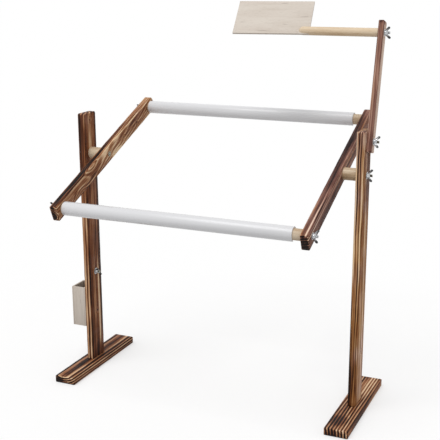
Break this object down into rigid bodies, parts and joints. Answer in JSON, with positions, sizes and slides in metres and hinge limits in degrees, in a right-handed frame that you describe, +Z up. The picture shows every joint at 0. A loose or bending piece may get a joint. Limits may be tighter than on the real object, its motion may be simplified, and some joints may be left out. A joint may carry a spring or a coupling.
{
  "type": "embroidery stand",
  "caption": "Floor stand with a tilting scroll frame on twin legs, push-on cloth clips, a leaning mast with a pattern plate and a hanging tool box.",
  "frame": {"origin": "on the floor, midway between the legs and under the pivot axis of the work frame", "axes": "+X along the rollers to the sitter's right, +Y away from the sitter, +Z up"},
  "size_m": [0.7792, 0.4846, 0.924],
  "materials": {
    "torched_pine": "torched and brushed, open grain, thin clear oil",
    "birch_dowel": "sanded, bare",
    "pvc_clip": "extruded, semi-gloss",
    "birch_plywood": "sanded, bare, faint horizontal grain",
    "box_plywood": "sanded, bare, upright grain",
    "zinc_plated_steel": "bright zinc plate, slightly dulled"
  },
  "bodies": {
    "legs": {"left_foot": "torched_pine", "right_foot": "torched_pine", "left_upright": "torched_pine", "right_upright": "torched_pine", "foot_screws": "zinc_plated_steel", "left_spacer": "birch_dowel", "right_spacer": "birch_dowel", "pivot_washers": "zinc_plated_steel", "mast_bolt": "zinc_plated_steel", "box_washer": "zinc_plated_steel"},
    "work_frame": {"left_rail": "torched_pine", "right_rail": "torched_pine", "pivot_bolts": "zinc_plated_steel", "roller_washers": "zinc_plated_steel"},
    "front_roller": {"front_dowel": "birch_dowel", "front_hanger_bolts": "zinc_plated_steel"},
    "back_roller": {"back_dowel": "birch_dowel", "back_hanger_bolts": "zinc_plated_steel"},
    "front_clip_body": {"front_clip": "pvc_clip"},
    "back_clip_body": {"back_clip": "pvc_clip"},
    "mast_body": {"mast": "torched_pine", "mast_washer": "zinc_plated_steel", "arm_washer": "zinc_plated_steel"},
    "arm_body": {"arm_dowel": "birch_dowel", "arm_bolt": "zinc_plated_steel", "pattern_plate": "birch_plywood"},
    "tool_box": {"box_back": "box_plywood", "box_front": "box_plywood", "box_rear": "box_plywood", "box_outer": "box_plywood", "box_bottom": "box_plywood", "box_brads": "zinc_plated_steel", "box_bolt": "zinc_plated_steel"},
    "left_pivot_nut_body": {"left_pivot_nut": "zinc_plated_steel"},
    "right_pivot_nut_body": {"right_pivot_nut": "zinc_plated_steel"},
    "front_left_nut_body": {"front_left_nut": "zinc_plated_steel"},
    "front_right_nut_body": {"front_right_nut": "zinc_plated_steel"},
    "back_left_nut_body": {"back_left_nut": "zinc_plated_steel"},
    "back_right_nut_body": {"back_right_nut": "zinc_plated_steel"},
    "mast_nut_body": {"mast_nut": "zinc_plated_steel"},
    "arm_nut_body": {"arm_nut": "zinc_plated_steel"},
    "box_nut_body": {"box_nut": "zinc_plated_steel"}
  },
  "joints": [
    {"name": "frame_tilt", "type": "hinge", "parent": "legs", "child": "work_frame", "pos_m": [0, 0, 0.559], "axis": [1, 0, 0], "continuous": true},
    {"name": "front_roller_turn", "type": "hinge", "parent": "work_frame", "child": "front_roller", "pos_m": [0, -0.21249, 0.47098], "axis": [1, 0, 0], "continuous": true},
    {"name": "back_roller_turn", "type": "hinge", "parent": "work_frame", "child": "back_roller", "pos_m": [0, 0.21249, 0.64702], "axis": [1, 0, 0], "continuous": true},
    {"name": "front_clip_slide", "type": "slide", "parent": "front_roller", "child": "front_clip_body", "axis": [1, 0, 0], "range_m": [-0.004, 0.021]},
    {"name": "back_clip_slide", "type": "slide", "parent": "back_roller", "child": "back_clip_body", "axis": [1, 0, 0], "range_m": [-0.004, 0.021]},
    {"name": "mast_swing", "type": "hinge", "parent": "legs", "child": "mast_body", "pos_m": [0.364, 0, 0.634], "axis": [1, 0, 0], "range_deg": [-60, 104]},
    {"name": "arm_turn", "type": "hinge", "parent": "mast_body", "child": "arm_body", "pos_m": [0.364, 0.05685, 0.86202], "axis": [1, 0, 0], "continuous": true},
    {"name": "box_swing", "type": "hinge", "parent": "legs", "child": "tool_box", "pos_m": [-0.349, 0, 0.251], "axis": [1, 0, 0], "continuous": true},
    {"name": "left_pivot_nut_turn", "type": "hinge", "parent": "work_frame", "child": "left_pivot_nut_body", "pos_m": [-0.365, 0, 0.559], "axis": [1, 0, 0], "continuous": true},
    {"name": "right_pivot_nut_turn", "type": "hinge", "parent": "work_frame", "child": "right_pivot_nut_body", "pos_m": [0.365, 0, 0.559], "axis": [1, 0, 0], "continuous": true},
    {"name": "front_left_nut_turn", "type": "hinge", "parent": "front_roller", "child": "front_left_nut_body", "pos_m": [-0.313, -0.21249, 0.47098], "axis": [1, 0, 0], "continuous": true},
    {"name": "front_right_nut_turn", "type": "hinge", "parent": "front_roller", "child": "front_right_nut_body", "pos_m": [0.313, -0.21249, 0.47098], "axis": [1, 0, 0], "continuous": true},
    {"name": "back_left_nut_turn", "type": "hinge", "parent": "back_roller", "child": "back_left_nut_body", "pos_m": [-0.313, 0.21249, 0.64702], "axis": [1, 0, 0], "continuous": true},
    {"name": "back_right_nut_turn", "type": "hinge", "parent": "back_roller", "child": "back_right_nut_body", "pos_m": [0.313, 0.21249, 0.64702], "axis": [1, 0, 0], "continuous": true},
    {"name": "mast_nut_turn", "type": "hinge", "parent": "legs", "child": "mast_nut_body", "pos_m": [0.377, 0, 0.634], "axis": [1, 0, 0], "continuous": true},
    {"name": "arm_nut_turn", "type": "hinge", "parent": "arm_body", "child": "arm_nut_body", "pos_m": [0.377, 0.05685, 0.86202], "axis": [1, 0, 0], "continuous": true},
    {"name": "box_nut_turn", "type": "hinge", "parent": "tool_box", "child": "box_nut_body", "pos_m": [-0.333, 0, 0.251], "axis": [1, 0, 0], "continuous": true}
  ]
}
